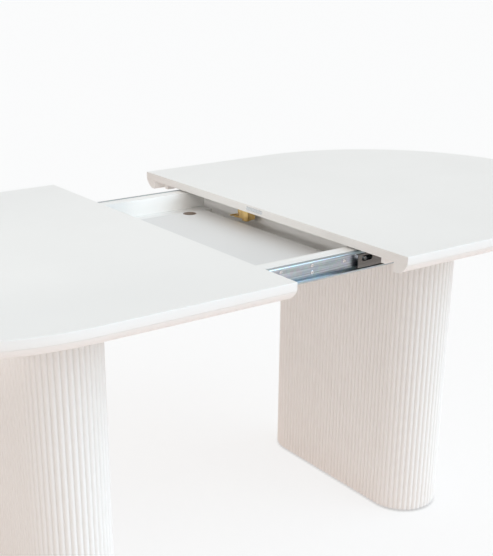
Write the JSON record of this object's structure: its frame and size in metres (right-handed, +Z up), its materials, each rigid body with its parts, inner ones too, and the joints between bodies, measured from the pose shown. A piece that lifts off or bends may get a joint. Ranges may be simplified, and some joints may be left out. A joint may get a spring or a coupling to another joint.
{
  "type": "extendable dining table",
  "caption": "Extendable dining table with a rounded split top on telescopic slides, reeded column legs and a folding leaf stored between the aprons.",
  "frame": {"origin": "on the floor under the middle of the open table", "axes": "+X along the table to its right half, +Y across it away from the viewer, +Z up"},
  "size_m": [2.01, 0.96, 0.755],
  "materials": {
    "white_lacquer": "matte off-white lacquer on board",
    "bare_board": "bare fibreboard, sealed",
    "zinc_steel": "zinc-plated rolled steel strip",
    "dark_steel": "dark grey coated steel strip",
    "bright_steel": "bright zinc-plated screws and balls",
    "brass": "brass plated, satin",
    "felt": "grey felt strip",
    "glide_nylon": "dark nylon glide",
    "brown_plastic": "dark brown moulded cup"
  },
  "bodies": {
    "frame": {"near_apron": "white_lacquer", "far_apron": "white_lacquer", "left_box_end_rail": "white_lacquer", "right_box_end_rail": "white_lacquer", "box_floor_panel": "white_lacquer", "box_well_sides": "white_lacquer", "box_ledges": "white_lacquer", "box_side_liners": "white_lacquer", "storage_box_screws": "bright_steel", "corner_blocks": "bare_board", "left_leg_mounting_board": "bare_board", "right_leg_mounting_board": "bare_board", "left_leg_cross_rails": "bare_board", "right_leg_cross_rails": "bare_board", "near_slide_channel": "zinc_steel", "far_slide_channel": "zinc_steel", "slide_channel_screws": "bright_steel", "left_leg_shell": "white_lacquer", "right_leg_shell": "white_lacquer", "left_leg_top_plate": "bare_board", "right_leg_top_plate": "bare_board", "left_leg_bottom_plate": "bare_board", "right_leg_bottom_plate": "bare_board", "left_leg_ribs": "bare_board", "right_leg_ribs": "bare_board", "leg_bolts": "bright_steel", "leg_bolt_washers": "zinc_steel", "floor_glides": "glide_nylon", "leaf_lower_panel": "white_lacquer", "leaf_upper_panel": "white_lacquer", "leaf_hinge_lower_plates": "brass", "leaf_hinge_upper_plates": "brass", "leaf_hinge_pins": "brass", "leaf_dowels": "bare_board", "leaf_finger_pull": "brown_plastic", "leaf_felt_strips": "felt"},
    "left_top": {"left_top_board": "white_lacquer", "left_edge_band": "white_lacquer", "left_stiffening_battens": "white_lacquer", "batten_screws_left": "bright_steel", "left_slide_members": "dark_steel", "left_slide_brackets": "dark_steel", "left_bracket_screws": "bright_steel", "left_locator_magnet": "bright_steel", "left_catch_keeper": "brass"},
    "right_top": {"right_top_board": "white_lacquer", "right_edge_band": "white_lacquer", "right_stiffening_battens": "white_lacquer", "batten_screws_right": "bright_steel", "right_slide_members": "dark_steel", "right_slide_brackets": "dark_steel", "right_bracket_screws": "bright_steel", "right_locator_plate": "bright_steel", "right_catch_housing": "brass"},
    "left_cages": {"left_ball_cages": "dark_steel", "left_cage_balls": "bright_steel"},
    "right_cages": {"right_ball_cages": "dark_steel", "right_cage_balls": "bright_steel"},
    "catch": {"catch_lever": "brass"}
  },
  "joints": [
    {"name": "left_top_slide", "type": "slide", "parent": "frame", "child": "left_top", "axis": [1, 0, 0], "range_m": [0, 0.1338]},
    {"name": "right_top_slide", "type": "slide", "parent": "frame", "child": "right_top", "axis": [-1, 0, 0], "range_m": [0, 0.1338]},
    {"name": "left_cage_slide", "type": "slide", "parent": "frame", "child": "left_cages", "axis": [1, 0, 0], "range_m": [0, 0.0669]},
    {"name": "right_cage_slide", "type": "slide", "parent": "frame", "child": "right_cages", "axis": [-1, 0, 0], "range_m": [0, 0.0669]},
    {"name": "catch_swing", "type": "hinge", "parent": "right_top", "child": "catch", "pos_m": [0.162, 0.076, 0.7085], "axis": [0, 0, 1], "range_deg": [0, 90]}
  ],
  "couplings": [
    {"joint": "left_cage_slide", "follows": "left_top_slide", "ratio": 0.5},
    {"joint": "right_cage_slide", "follows": "right_top_slide", "ratio": 0.5}
  ]
}
